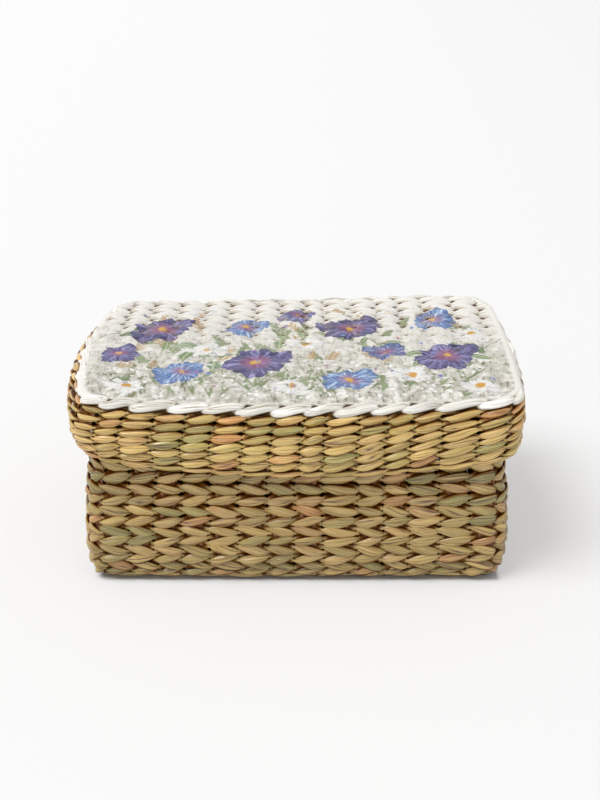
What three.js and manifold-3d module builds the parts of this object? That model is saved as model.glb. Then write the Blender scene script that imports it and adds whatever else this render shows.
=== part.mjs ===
// A hand-woven seagrass storage box with a lift-off lid. Body and lid are twined alike: flat reeds, the
// stakes, cross a mat and turn up the long walls, more stand in the end walls, and courses of twined
// strands run round and hold them. The lid is such a shell turned over, with a printed sheet on top.
// Millimetres, +Z up, X along the box, the origin under the middle of the foot.

import * as THREE from "three";
import { mergeVertices } from "three/addons/utils/BufferGeometryUtils.js";
import Module from "manifold-3d";

const wasm = await Module();
wasm.setup();

// Reeds and strands
const stakeThickness = 3;
const stakeWidth = 8;
const stakeClear = 0.5; // room round a stake between the two strands of a course
const strandThickness = 1.75; // the strand on either face of the stakes
const reedGap = 0.3; // between neighbouring courses, borders and mats
const courseRound = 1.5; // how far a course draws in at its upper and lower edge
const cornerRadius = 15; // of both shells in plan
const overrun = 2; // how far a cutting tool runs past what it cuts
const wallThickness = stakeThickness + 2 * (stakeClear + strandThickness);
const slotWidth = stakeThickness + 2 * stakeClear;
const stakeBend = stakeThickness / 2; // the corner cut where a stake turns up

// Body
const bodyLength = 297; // at its widest
const bodyDepth = 199.4;
const bodyBow = 1.2; // how far its walls belly out
const bodyWideHeight = 28; // height of the widest girth
const footTuck = 10; // how far the wall draws in from there to the foot
const rimDraw = 13; // and to the rim
const bodyLowCourseHeight = 6.6; // the courses grow from the lowest to the highest
const bodyTopCourseHeight = 9.2;
const bodyRimHeight = 9.1;

// Lid
const lidFit = 4.3; // room all round between the lid's top corner and the rim of the body
const lidLean = 5; // how far the top of the lid stands off to +X
const lidFlare = 6; // how far the wall swells below the top edge
const lidFlareDepth = 28;
const lidRimTuck = 3; // how far it draws in again to its rim
const lidBow = 4; // how far its long walls belly out
const lidEndBow = 6; // and its end walls
const lidCourseHeight = 6.7;
const lidRimHeight = 5.5;
const lidRimThickness = 5;
const printRecess = 1; // the top mat lies this much below the border round it
const printThickness = 0.3;
const printMargin = 1;
const printSwell = 1.4; // how far the sheet rises over the stitches of the mat below it
const matRowPitch = 9;

// Counts and spacing
const bodyCourseCount = 15;
const lidCourseCount = 6;
const longStakeCount = 14;
const endStakeCount = 9;
const stakeMargin = 6.1; // from the outermost stake of a wall to the corner's bend
const cornerSteps = 3;
const footSteps = 3; // straight stretches in a stake's leg, below the widest girth and above it
const legSteps = 4;
const bodyBends = 2; // straight stretches that a bowed wall is made of
const lidBends = 4;

const straw = new THREE.MeshStandardMaterial({ color: 0xb9a468, roughness: 0.6 });
const reddishReed = new THREE.MeshStandardMaterial({ color: 0x8a5a34, roughness: 0.7 });
const whitePaint = new THREE.MeshStandardMaterial({ color: 0xece9df, roughness: 0.5 });
const printedPaper = new THREE.MeshStandardMaterial({ color: 0xd9d6d0, roughness: 0.55 });

// Heights above the outer face of a shell's mat: the wall courses begin just above the stakes' run.
const firstCourse = strandThickness + slotWidth;
const stakeRun = strandThickness + stakeClear;
const bodyRim = firstCourse + (bodyCourseCount * (bodyLowCourseHeight + bodyTopCourseHeight)) / 2;
const bodyHeight = bodyRim + bodyRimHeight;
const lidRim = firstCourse + lidCourseCount * lidCourseHeight;
const lidHeight = lidRim + lidRimHeight;

// Half sizes and sideways shift of the body's outer face at height t.
function bodyGirth(t) {
  const lowShare = (bodyWideHeight - t) / bodyWideHeight;
  const highShare = (t - bodyWideHeight) / (bodyHeight - bodyWideHeight);
  const draw = t < bodyWideHeight ? footTuck * lowShare ** 2 : rimDraw * highShare ** 2;
  return { halfX: bodyLength / 2 - draw, halfY: bodyDepth / 2 - draw, shiftX: 0 };
}

// The same for the lid, t down from its top: its inside clears the rim of the body.
function lidGirth(t) {
  const swellShare = Math.sin((Math.PI / 2) * Math.min(1, t / lidFlareDepth));
  const lowShare = Math.max(0, t - lidFlareDepth) / (lidHeight - lidFlareDepth);
  const out = wallThickness + lidFit - rimDraw + lidFlare * swellShare - lidRimTuck * lowShare ** 2;
  return {
    halfX: bodyLength / 2 + out,
    halfY: bodyDepth / 2 + out,
    shiftX: lidLean * Math.max(0, 1 - t / lidFlareDepth),
  };
}

const bodyShell = {
  name: "body",
  girth: bodyGirth,
  widest: bodyWideHeight,
  bow: bodyBow,
  endBow: bodyBow,
  bends: bodyBends,
  courses: bodyCourseCount,
  courseHeight: (k) => {
    const upShare = k / (bodyCourseCount - 1);
    return bodyLowCourseHeight + upShare * (bodyTopCourseHeight - bodyLowCourseHeight);
  },
  rim: bodyRim,
  height: bodyHeight,
  rimThickness: wallThickness,
  matRecess: 0,
  matName: "base_mat",
  edgeName: "foot_border",
  edgeMaterial: straw,
};

const lidShell = {
  name: "lid",
  girth: lidGirth,
  widest: lidFlareDepth,
  bow: lidBow,
  endBow: lidEndBow,
  bends: lidBends,
  courses: lidCourseCount,
  courseHeight: () => lidCourseHeight,
  rim: lidRim,
  height: lidHeight,
  rimThickness: lidRimThickness,
  matRecess: printRecess,
  matName: "top_mat",
  edgeName: "top_border",
  edgeMaterial: whitePaint,
};

// How far a wall bellies out at a share of its half length: a parabola in straight stretches.
function bowAt(shell, isLong, alongShare) {
  const place = ((alongShare + 1) / 2) * shell.bends;
  const bend = Math.min(shell.bends - 1, Math.max(0, Math.floor(place)));
  const riseShare = (k) => 1 - (2 * (k / shell.bends) - 1) ** 2;
  const bowShare = riseShare(bend) + (place - bend) * (riseShare(bend + 1) - riseShare(bend));
  return bowShare * (isLong ? shell.bow : shell.endBow);
}

// The outline of a shell at height t, moved in by inset, counter-clockwise: four corner arcs, with the
// bends of the walls between them.
function outline(shell, t, inset) {
  const { halfX, halfY, shiftX } = shell.girth(t);
  const x = halfX - cornerRadius;
  const y = halfY - cornerRadius;
  const radius = cornerRadius - inset;
  const points = [];
  [[x, -y], [x, y], [-x, y], [-x, -y]].forEach(([cx, cy], corner) => {
    for (let i = 0; i <= cornerSteps; i++) {
      const angle = (Math.PI / 2) * (corner - 1 + i / cornerSteps);
      points.push([shiftX + cx + radius * Math.cos(angle), cy + radius * Math.sin(angle), t]);
    }
    const isLong = corner % 2 === 1;
    const face = Math.sign(isLong ? cy : cx);
    for (let i = 1; i < shell.bends; i++) {
      const alongShare = 1 - (2 * i) / shell.bends;
      const out = face * ((isLong ? halfY : halfX) - inset + bowAt(shell, isLong, alongShare));
      if (isLong) points.push([shiftX + face * alongShare * x, out, t]);
      else points.push([shiftX + out, -face * alongShare * y, t]);
    }
  });
  return points;
}

// A closed surface through rings of points: round and back to the first ring, or with a flat cap at
// each end.
function lofted(rings, capped) {
  const count = rings[0].length;
  const index = [];
  for (let s = 0; s < (capped ? rings.length - 1 : rings.length); s++) {
    const next = (s + 1) % rings.length;
    for (let p = 0; p < count; p++) {
      const q = (p + 1) % count;
      index.push(s * count + p, s * count + q, next * count + q);
      index.push(s * count + p, next * count + q, next * count + p);
    }
  }
  if (capped) {
    const top = (rings.length - 1) * count;
    const flat = rings[0].map(([x, y]) => new THREE.Vector2(x, y));
    for (const [a, b, c] of THREE.ShapeUtils.triangulateShape(flat, [])) {
      index.push(c, b, a, top + a, top + b, top + c);
    }
  }
  return new THREE.BufferGeometry()
    .setAttribute("position", new THREE.Float32BufferAttribute(rings.flat(2), 3))
    .setIndex(index);
}

function solidOf(geometry) {
  const bare = geometry.clone();
  bare.deleteAttribute("normal");
  bare.deleteAttribute("uv");
  const merged = mergeVertices(bare);
  return new wasm.Manifold(
    new wasm.Mesh({
      numProp: 3,
      vertProperties: merged.attributes.position.array,
      triVerts: new Uint32Array(merged.index.array),
    }),
  );
}

function geometryOf(solid) {
  const mesh = solid.getMesh();
  return new THREE.BufferGeometry()
    .setAttribute("position", new THREE.BufferAttribute(new Float32Array(mesh.vertProperties), 3))
    .setIndex(new THREE.BufferAttribute(new Uint32Array(mesh.triVerts), 1));
}

// A mesh with flat-shaded faces, under its own name.
function piece(name, geometry, material) {
  const flat = geometry.index ? geometry.toNonIndexed() : geometry;
  flat.computeVertexNormals();
  const mesh = new THREE.Mesh(flat, material);
  mesh.name = name;
  return mesh;
}

// A ring round the shell. Its section is a list of [inset, t] that runs round with the wall's outer
// face first.
function ring(shell, section) {
  return lofted(section.map(([inset, t]) => outline(shell, t, inset)), false);
}

// A course of strands between two heights: rounded outside and inside, drawn in at its edges.
function courseRing(shell, low, high, thickness) {
  const middle = (low + high) / 2;
  return ring(shell, [
    [courseRound, low],
    [0, middle],
    [courseRound, high],
    [thickness - courseRound, high],
    [thickness, middle],
    [thickness - courseRound, low],
  ]);
}

// A slot through one wall of a course, where the stakes stand between its strands. Sides 0 and 2 are
// the end walls, 1 and 3 the long ones; it runs a little way into the corners.
function slot(shell, side, low, high) {
  const outer = strandThickness;
  const inner = outer + slotWidth;
  const isLong = side % 2 === 1;
  const face = side < 2 ? 1 : -1;
  const alongShares = Array.from({ length: shell.bends + 1 }, (_, i) => (2 * i) / shell.bends - 1);
  const point = (t, inset, alongShare) => {
    const { halfX, halfY, shiftX } = shell.girth(Math.min(high, Math.max(low, t)));
    const reach = (isLong ? halfX : halfY) - cornerRadius + overrun;
    const out = (isLong ? halfY : halfX) - inset + bowAt(shell, isLong, alongShare);
    if (isLong) return [shiftX - face * alongShare * reach, face * out, t];
    return [shiftX + face * out, face * alongShare * reach, t];
  };
  const loop = (t) => [
    ...alongShares.map((share) => point(t, outer, share)),
    ...alongShares.map((share) => point(t, inner, -share)),
  ];
  return solidOf(lofted([low - overrun, low, high, high + overrun].map(loop), true));
}

// The border at the edge of the mat: an angle that wraps the bend of the stakes from outside.
function borderRing(shell) {
  const skin = strandThickness;
  const high = firstCourse - reedGap;
  return ring(shell, [
    [2 * skin, 0],
    [skin / 2, skin],
    [0, high],
    [skin, high],
    [skin, 2 * skin],
    [2 * skin, skin],
    [wallThickness, skin],
    [wallThickness, 0],
  ]);
}

// Half the straight run of a wall at its widest; half is "halfX" on a long wall, "halfY" on an end one.
const widestRun = (shell, half) => shell.girth(shell.widest)[half] - cornerRadius;

// Where the stakes of a wall stand, evenly spread, as shares of that run.
function stakeShares(shell, half, count) {
  const endShare = 1 - stakeMargin / widestRun(shell, half);
  const numbers = Array.from({ length: count }, (_, i) => i);
  return numbers.map((i) => endShare * ((2 * i) / numbers.at(-1) - 1));
}

// The mat: a plate of twined rows with the layer of the stakes open through it from front to back.
function mat(shell) {
  const heights = [shell.matRecess, strandThickness, wallThickness];
  const plate = solidOf(lofted(heights.map((t) => outline(shell, t, wallThickness + reedGap)), true));
  const { halfX, halfY, shiftX } = shell.girth(firstCourse);
  const endShare = stakeShares(shell, "halfX", longStakeCount).at(-1);
  const reach = endShare * (halfX - cornerRadius) + stakeWidth / 2 + stakeClear;
  const layer = new THREE.BoxGeometry(2 * reach, 2 * (halfY + shell.bow + overrun), slotWidth);
  layer.translate(shiftX, 0, strandThickness + slotWidth / 2);
  return geometryOf(plate.subtract(solidOf(layer)));
}

// Heights that an upright stake is bent at, from above its foot to its tip under the rim.
function legHeights(shell) {
  const foot = stakeRun + 2 * stakeThickness;
  const tip = shell.rim - reedGap;
  const steps = (from, to, count) => {
    return Array.from({ length: count }, (_, i) => from + (i / count) * (to - from));
  };
  return [...steps(foot, shell.widest, footSteps), ...steps(shell.widest, tip, legSteps), tip];
}

// A flat reed cut to an outline of [across, t], its width along the wall in a number of steps.
function reed(points, width, steps) {
  const shape = new THREE.Shape(points.map(([across, t]) => new THREE.Vector2(across, t)));
  const geometry = new THREE.ExtrudeGeometry(shape, { depth: width, steps, bevelEnabled: false });
  return geometry.translate(0, 0, -width / 2);
}

// Fans a reed out with its wall: its place along the wall at its widest is drawn in as the wall is.
// The reeds of a long wall also follow the sideways shift, and those of an end wall its bow.
function fanned(geometry, shell, axis) {
  const half = axis === "x" ? "halfX" : "halfY";
  const position = geometry.attributes.position;
  for (let i = 0; i < position.count; i++) {
    const [x, y] = [position.getX(i), position.getY(i)];
    const girth = shell.girth(position.getZ(i));
    const fanShare = (girth[half] - cornerRadius) / widestRun(shell, half);
    if (axis === "x") position.setX(i, girth.shiftX + x * fanShare);
    else position.setXY(i, x + Math.sign(x) * bowAt(shell, false, y / widestRun(shell, half)), y * fanShare);
  }
  return geometry;
}

// One stake of the long walls: up the front, across the mat and up the back.
function longStake(shell, alongShare) {
  const bow = bowAt(shell, true, alongShare);
  const middle = (t) => shell.girth(t).halfY + bow - wallThickness / 2;
  const outer = (t) => middle(t) + stakeThickness / 2;
  const inner = (t) => middle(t) - stakeThickness / 2;
  const top = stakeRun + stakeThickness;
  const heights = legHeights(shell);
  const half = [
    [outer(stakeRun) - stakeBend, stakeRun],
    [outer(stakeRun + stakeBend), stakeRun + stakeBend],
    ...heights.map((t) => [outer(t), t]),
    ...heights.toReversed().map((t) => [inner(t), t]),
    [inner(top), top],
  ];
  const mirrored = half.toReversed().map(([y, t]) => [-y, t]);
  const axes = new THREE.Matrix4().makeBasis(
    new THREE.Vector3(0, 1, 0),
    new THREE.Vector3(0, 0, 1),
    new THREE.Vector3(1, 0, 0),
  );
  const stake = reed([...half, ...mirrored], stakeWidth, 1).applyMatrix4(axes);
  stake.translate(alongShare * widestRun(shell, "halfX"), 0, 0);
  return fanned(stake, shell, "x");
}

// The stakes of one end wall: upright reeds that a foot strip joins along the edge of the mat.
function endStakeComb(shell, side) {
  const face = (t, out) => {
    const { halfX, shiftX } = shell.girth(t);
    return shiftX + side * (halfX - wallThickness / 2) + (out * stakeThickness) / 2;
  };
  const axes = new THREE.Matrix4().makeBasis(
    new THREE.Vector3(1, 0, 0),
    new THREE.Vector3(0, 0, 1),
    new THREE.Vector3(0, -1, 0),
  );
  const upright = (width, steps, heights, y) => {
    const outer = heights.map((t) => [face(t, 1), t]);
    const inner = heights.toReversed().map((t) => [face(t, -1), t]);
    const leg = reed([...outer, ...inner], width, steps).applyMatrix4(axes);
    return solidOf(fanned(leg.translate(0, y, 0), shell, "y"));
  };
  const foot = stakeRun + stakeBend;
  const top = stakeRun + stakeThickness;
  const places = stakeShares(shell, "halfY", endStakeCount).map((share) => share * widestRun(shell, "halfY"));
  let comb = upright(2 * places.at(-1) + stakeWidth, shell.bends, [foot, top], 0);
  for (const y of places) comb = comb.add(upright(stakeWidth, 1, [foot, top, ...legHeights(shell)], y));
  return geometryOf(comb);
}

// A whole shell, standing on the outer face of its mat.
function wovenShell(shell) {
  const group = new THREE.Group();
  const put = (name, geometry, material) => group.add(piece(shell.name + "_" + name, geometry, material));
  const numbered = (name, i) => name + "_" + String(i + 1).padStart(2, "0");
  put(shell.matName, mat(shell), shell.edgeMaterial);
  put(shell.edgeName, borderRing(shell), shell.edgeMaterial);
  let low = firstCourse;
  for (let k = 0; k < shell.courses; k++) {
    const high = low + shell.courseHeight(k) - reedGap;
    let course = solidOf(courseRing(shell, low, high, wallThickness));
    for (let side = 0; side < 4; side++) course = course.subtract(slot(shell, side, low, high));
    put(numbered("course", k), geometryOf(course), straw);
    low = high + reedGap;
  }
  put("rim_border", courseRing(shell, shell.rim, shell.height, shell.rimThickness), straw);
  stakeShares(shell, "halfX", longStakeCount).forEach((share, i) => {
    put(numbered("stake", i), longStake(shell, share), reddishReed);
  });
  put("left_end_stakes", endStakeComb(shell, -1), reddishReed);
  put("right_end_stakes", endStakeComb(shell, 1), reddishReed);
  return group;
}

// The printed sheet, in the recess that the border leaves over the top mat. It swells over each stitch of
// the mat's rows: highest at the middle of a stitch, lowest where four stitches meet. Below it is flat.
function printSheet() {
  const inset = wallThickness + reedGap + printMargin;
  const under = printRecess - reedGap;
  const radius = cornerRadius - inset;
  const { halfX, halfY, shiftX } = lidGirth(under);
  const columns = 2 * longStakeCount;
  const rows = 2 * Math.round((2 * (halfY - inset)) / matRowPitch);
  const swellShares = [[0, 0.4], [0.35, 1]]; // between rows and on them, between stitches and on them
  const point = (i, j) => {
    const alongShare = (2 * i) / columns - 1;
    const acrossShare = (2 * j) / rows - 1;
    const y = acrossShare * (halfY - inset + bowAt(lidShell, true, alongShare));
    const intoCorner = Math.min(radius, Math.max(0, Math.abs(y) - (halfY - cornerRadius)));
    const side = halfX - cornerRadius + bowAt(lidShell, false, acrossShare);
    const reach = side + Math.sqrt(radius ** 2 - intoCorner ** 2);
    const atEdge = i === 0 || j === 0 || i === columns || j === rows;
    const swell = atEdge ? 0 : printSwell * swellShares[j % 2][i % 2];
    return [shiftX + alongShare * reach, y, under - printThickness - swell];
  };
  const number = (i, j) => i * (rows + 1) + j;
  const points = [];
  const index = [];
  for (let i = 0; i <= columns; i++) {
    for (let j = 0; j <= rows; j++) {
      points.push(point(i, j));
      if (i === columns || j === rows) continue;
      const [a, b, c, d] = [number(i, j), number(i + 1, j), number(i + 1, j + 1), number(i, j + 1)];
      index.push(a, c, b, a, d, c);
    }
  }
  const rim = [];
  for (let i = 0; i < columns; i++) rim.push(number(i, 0));
  for (let j = 0; j < rows; j++) rim.push(number(columns, j));
  for (let i = columns; i > 0; i--) rim.push(number(i, rows));
  for (let j = rows; j > 0; j--) rim.push(number(0, j));
  const foot = points.length;
  const centre = foot + rim.length;
  rim.forEach((top) => points.push([points[top][0], points[top][1], under]));
  points.push([shiftX, 0, under]);
  rim.forEach((top, k) => {
    const next = (k + 1) % rim.length;
    index.push(top, rim[next], foot + next, top, foot + next, foot + k);
    index.push(foot + k, foot + next, centre);
  });
  const geometry = new THREE.BufferGeometry()
    .setAttribute("position", new THREE.Float32BufferAttribute(points.flat(), 3))
    .setIndex(index);
  return piece("lid_print_sheet", geometry, printedPaper);
}

// The lid is a shell turned over, its mat resting on the rim of the body.
const lid = wovenShell(lidShell);
lid.add(printSheet());
lid.rotation.x = Math.PI;
lid.position.z = bodyHeight + reedGap + wallThickness;

const box = new THREE.Group();
box.add(wovenShell(bodyShell), lid);

export default box;
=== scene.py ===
"""A hand-twined seagrass storage box with a lift-off lid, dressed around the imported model.

Metres, +Z up, the front of the box towards -Y. Every strand of reed is a skin worked out on a grid: along
the strand, and round its section.
"""
import math

import bpy
import mathutils
import numpy as np
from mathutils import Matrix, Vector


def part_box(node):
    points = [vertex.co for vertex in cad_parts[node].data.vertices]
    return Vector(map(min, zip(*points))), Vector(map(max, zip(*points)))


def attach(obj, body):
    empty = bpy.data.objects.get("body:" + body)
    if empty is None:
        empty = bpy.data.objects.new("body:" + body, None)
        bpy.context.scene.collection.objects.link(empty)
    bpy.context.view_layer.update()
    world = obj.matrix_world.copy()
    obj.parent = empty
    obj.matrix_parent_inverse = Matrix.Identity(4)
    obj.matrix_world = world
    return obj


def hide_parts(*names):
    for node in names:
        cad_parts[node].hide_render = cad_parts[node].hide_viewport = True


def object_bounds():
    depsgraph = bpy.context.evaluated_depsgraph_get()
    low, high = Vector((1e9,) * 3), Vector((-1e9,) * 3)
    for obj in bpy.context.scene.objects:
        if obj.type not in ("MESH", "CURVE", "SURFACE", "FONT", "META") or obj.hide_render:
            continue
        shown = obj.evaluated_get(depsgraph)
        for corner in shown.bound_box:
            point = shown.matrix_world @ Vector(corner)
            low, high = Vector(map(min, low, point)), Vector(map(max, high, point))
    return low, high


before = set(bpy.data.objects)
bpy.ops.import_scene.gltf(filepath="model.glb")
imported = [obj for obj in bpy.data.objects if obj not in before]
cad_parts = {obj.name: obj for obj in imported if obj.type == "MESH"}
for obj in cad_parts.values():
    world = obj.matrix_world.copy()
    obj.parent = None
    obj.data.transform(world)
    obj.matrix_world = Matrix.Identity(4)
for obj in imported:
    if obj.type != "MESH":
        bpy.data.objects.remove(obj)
cad_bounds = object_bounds()
scene = bpy.context.scene
mm = 0.001

# The camera stands in front of the box, a little above it, and looks down on the lid. Its place and lens
# were worked out from the lid's edges.
camera_place = (0.0023, -0.917, 0.5075)
camera_pitch = math.radians(24.07)
camera_lens = 60.75
sensor_long_side = 36.0

camera_data = bpy.data.cameras.new("camera")
camera_data.sensor_width = sensor_long_side
camera_data.lens = camera_lens
camera = bpy.data.objects.new("camera", camera_data)
camera.location = camera_place
camera.rotation_euler = (math.pi / 2 - camera_pitch, 0, 0)
scene.collection.objects.link(camera)
scene.camera = camera
scene.view_settings.view_transform = "Standard"

# The studio: one wide soft lamp high on the left and in front, and a white room all round that fills the
# shadows. Together they light a level surface at a plain level.
key_direction = (0.45, 0.25, -0.86)
key_strength = 1.95
key_angle = math.radians(32)
room_colour = "#ffffff"
room_strength = 0.5
backdrop_shade = "#f6f6f6"


def linear(hex_colour):
    """An sRGB hex colour as linear red, green, blue and alpha: each channel c becomes
    ((c + 0.055) / 1.055) to the power 2.4, or c / 12.92 where it is dark."""
    channels = np.array([int(hex_colour[i : i + 2], 16) for i in (1, 3, 5)]) / 255
    bright = ((channels + 0.055) / 1.055) ** 2.4
    return (*np.where(channels > 0.04045, bright, channels / 12.92), 1.0)


def add_node(tree, kind, inputs=(), shades=None, **settings):
    """Adds a node of a kind and sets its settings. Its inputs are given by name or number, or in order. One
    is linked where its value is a socket, or a node, whose first output in use it takes, and set otherwise.
    Shades give a ramp its places and sRGB hex colours."""
    node = tree.nodes.new("ShaderNode" + kind)
    for name, value in settings.items():
        setattr(node, name, value)
    for name, value in inputs.items() if isinstance(inputs, dict) else enumerate(inputs):
        if isinstance(value, bpy.types.Node):
            value = next(output for output in value.outputs if output.enabled)
        if isinstance(value, bpy.types.NodeSocket):
            tree.links.new(value, node.inputs[name])
        else:
            node.inputs[name].default_value = value
    if shades:
        elements = node.color_ramp.elements
        while len(elements) < len(shades):
            elements.new(0.5)
        for element, (place, shade) in zip(elements, shades.items()):
            element.position = place
            element.color = linear(shade)
    return node


def new_material(name):
    """An empty node material and its tree."""
    material = bpy.data.materials.new(name)
    material.use_nodes = True
    material.node_tree.nodes.clear()
    return material, material.node_tree


key = bpy.data.objects.new("key_lamp", bpy.data.lights.new("key_lamp", "SUN"))
key.data.energy = key_strength
key.data.angle = key_angle
key.rotation_euler = mathutils.Vector(key_direction).to_track_quat("-Z", "Y").to_euler()
scene.collection.objects.link(key)

world = bpy.data.worlds.new("room")
world.use_nodes = True
tree = world.node_tree
tree.nodes.clear()
room = add_node(tree, "Background", {"Color": linear(room_colour), "Strength": room_strength})
backdrop = add_node(tree, "Background", {"Color": linear(backdrop_shade)})
rays = add_node(tree, "LightPath").outputs
glossy = (rays["Is Glossy Ray"], rays["Is Transmission Ray"])
glossy = add_node(tree, "Math", glossy, operation="MAXIMUM")
seen = add_node(tree, "Math", (rays["Is Camera Ray"], glossy), operation="MAXIMUM")
room_mix = add_node(tree, "MixShader", (seen, room, backdrop))
add_node(tree, "OutputWorld", {"Surface": room_mix})
scene.world = world

# The floor: a large sheet of white card, matt, that takes the box's shadow. It is a shade greyer on the
# right, away from the lamp, and lit from below as a light table is, which thins the shadow that one sees,
# but not under the box itself, a little inside its outline.
floor_half = 6.0
floor_fade = 0.7
floor_shades = {0.0: "#fcfcfc", 0.5: "#fafafa", 1.0: "#f6f6f6"}
card_roughness, card_specular = 0.9, 0.1
table_light_strength, table_light_share = 0.97, 0.42
box_insets, box_fade = (18 * mm, 16 * mm), 3 * mm

floor_mesh = bpy.data.meshes.new("floor")
floor_corners = [(x * floor_half, y * floor_half, 0.0) for x, y in ((-1, -1), (1, -1), (1, 1), (-1, 1))]
floor_mesh.from_pydata(floor_corners, [], [(0, 1, 2, 3)])
floor = bpy.data.objects.new("floor", floor_mesh)
scene.collection.objects.link(floor)
floor_card, tree = new_material("matt_white_card")
place = add_node(tree, "SeparateXYZ", (add_node(tree, "TexCoord").outputs["Object"],)).outputs
across = add_node(tree, "MapRange", (place["X"], -floor_fade, floor_fade))
fade = add_node(tree, "ValToRGB", {"Fac": across}, floor_shades)
card = {"Base Color": fade, "Roughness": card_roughness, "Specular IOR Level": card_specular}
card = add_node(tree, "BsdfPrincipled", card)
table_light = add_node(tree, "Emission", {"Color": fade, "Strength": table_light_strength})
beyond = []
for axis, half, inset in zip("XY", cad_bounds[1], box_insets):
    away = add_node(tree, "Math", (place[axis],), operation="ABSOLUTE")
    beyond.append(add_node(tree, "Math", (away, half - inset), operation="SUBTRACT"))
outside = add_node(tree, "Math", beyond, operation="MAXIMUM")
outside = add_node(tree, "MapRange", (outside, 0, box_fade, 0, table_light_share))
seen = add_node(tree, "LightPath").outputs["Is Camera Ray"]
lit_share = add_node(tree, "Math", (seen, outside), operation="MULTIPLY")
card_mix = add_node(tree, "MixShader", (lit_share, card, table_light))
add_node(tree, "OutputMaterial", {"Surface": card_mix})
floor_mesh.materials.append(floor_card)

# Twined grass reed, as both walls, the borders and the mats are made of: the dried leaf, folded lengthwise
# and twisted a little. It has a satin skin, straw, olive and tan shades, thin dark creases from the folds,
# their dark lines partly painted shade, and fine fibres, drawn twice as coarse as they are so that they
# show. Deep in the weave it is painted brown and then dark as painted shade, and its reflection is painted
# darker there too.
fibre_size, fibre_detail, fibre_relief = (12 * mm, 0.75 * mm), 2.0, 0.15 * mm
crease_size, crease_detail, crease_relief = (60 * mm, 2.3 * mm), 0.5, 0.25 * mm
blotch_size, blotch_detail, blotch_share = (9 * mm, 4 * mm), 1.0, 0.5
streak_roughness = 0.6
stitch_apart = 60.0
# The depths over which the reed is painted brown, then dark: painted shade deep in the weave.
crevice_shade_depths, deep_shade_depths = (0.12, 0.34), (0.32, 0.54)
fibre_range, duller, glossier = (0.3, 0.7), 0.12, 0.04
reed_specular = 0.95
straw_finish = {
    "shades": {
        0.0: "#aaa05c",
        0.17: "#b9a75f",
        0.4: "#caae65",
        0.6: "#d6b870",
        0.74: "#dcbc79",
        0.86: "#d9ab69",
        1.0: "#cd9757",
    },
    "fibres": {0.28: "#c9a56c", 0.42: "#efe2c6", 0.55: "#ffffff"},
    # The creases' dark lines: partly the folded leaf's own colour and partly painted shade in the folds.
    "creases": {0.465: "#ffffff", 0.5: "#7c5526", 0.535: "#ffffff"},
    # The colours of the painted shade: brown in the crevices, near black deepest in the weave.
    "crevice": "#744310",
    "deep": "#2b1200",
    "roughness": 0.25,
}


def streaks(tree, size, detail):
    """Noise drawn out along a strand: the map runs in metres, u along the strand and v round it. The tone
    of a stitch is the third coordinate, so that no two stitches are streaked alike."""
    strand_map = add_node(tree, "UVMap", uv_map="strand")
    tone = add_node(tree, "Attribute", attribute_name="tone").outputs["Fac"]
    scaled = add_node(tree, "Mapping", {"Vector": strand_map, "Scale": (1 / size[0], 1 / size[1], 1.0)})
    apart = add_node(tree, "Math", (tone, stitch_apart), operation="MULTIPLY")
    apart = add_node(tree, "CombineXYZ", {"Z": apart})
    placed = add_node(tree, "VectorMath", (scaled, apart), operation="ADD")
    noise = {"Vector": placed, "Scale": 1.0, "Detail": detail, "Roughness": streak_roughness}
    return add_node(tree, "TexNoise", noise)


def reed_material(name, finish):
    """Dried reed: its shade by stitch and by blotch, tinted by fibres and creases, then painted browner and
    darker with depth in the weave as painted shade, its reflection darkened there alike, and relief from the
    creases and fibres."""
    material, tree = new_material(name)
    tone, light, depth = (
        add_node(tree, "Attribute", attribute_name=label).outputs["Fac"]
        for label in ("tone", "light", "depth")
    )
    fibres = streaks(tree, fibre_size, fibre_detail)
    blotches = streaks(tree, blotch_size, blotch_detail)
    creases = streaks(tree, crease_size, crease_detail)
    uneven = (blotches, blotch_share, -blotch_share / 2)
    uneven = add_node(tree, "Math", uneven, operation="MULTIPLY_ADD")
    toned = add_node(tree, "Math", (tone, uneven), operation="ADD")
    colour = add_node(tree, "ValToRGB", {"Fac": toned}, finish["shades"])
    fibre_tint = add_node(tree, "ValToRGB", {"Fac": fibres}, finish["fibres"])
    creases = add_node(tree, "ValToRGB", {"Fac": creases}, finish["creases"])
    for tint in (fibre_tint, creases, light):
        tinted = {0: 1.0, 6: colour, 7: tint}
        colour = add_node(tree, "Mix", tinted, data_type="RGBA", blend_type="MULTIPLY")
    # Its reflection is tinted darker with depth too: painted shade on the gloss.
    gleam = linear("#ffffff")
    for shade, depths in ((finish["crevice"], crevice_shade_depths), (finish["deep"], deep_shade_depths)):
        share = add_node(tree, "MapRange", (depth, *depths))
        colour, gleam = (
            add_node(tree, "Mix", {0: share, 6: above, 7: linear(shade)}, data_type="RGBA")
            for above in (colour, gleam)
        )
    skin = {}
    for height, relief in ((creases, crease_relief), (fibres, fibre_relief)):
        bump = {"Height": height, "Strength": 1.0, "Distance": relief}
        skin = {"Normal": add_node(tree, "Bump", bump | skin)}
    gloss = (fibres, *fibre_range, finish["roughness"] + duller, finish["roughness"] - glossier)
    surface = {
        "Base Color": colour,
        "Roughness": add_node(tree, "MapRange", gloss),
        "Specular IOR Level": reed_specular,
        "Specular Tint": gleam,
    }
    add_node(tree, "OutputMaterial", {"Surface": add_node(tree, "BsdfPrincipled", surface | skin)})
    return material


straw_reed = reed_material("dried_grass_reed_satin", straw_finish)

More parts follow.
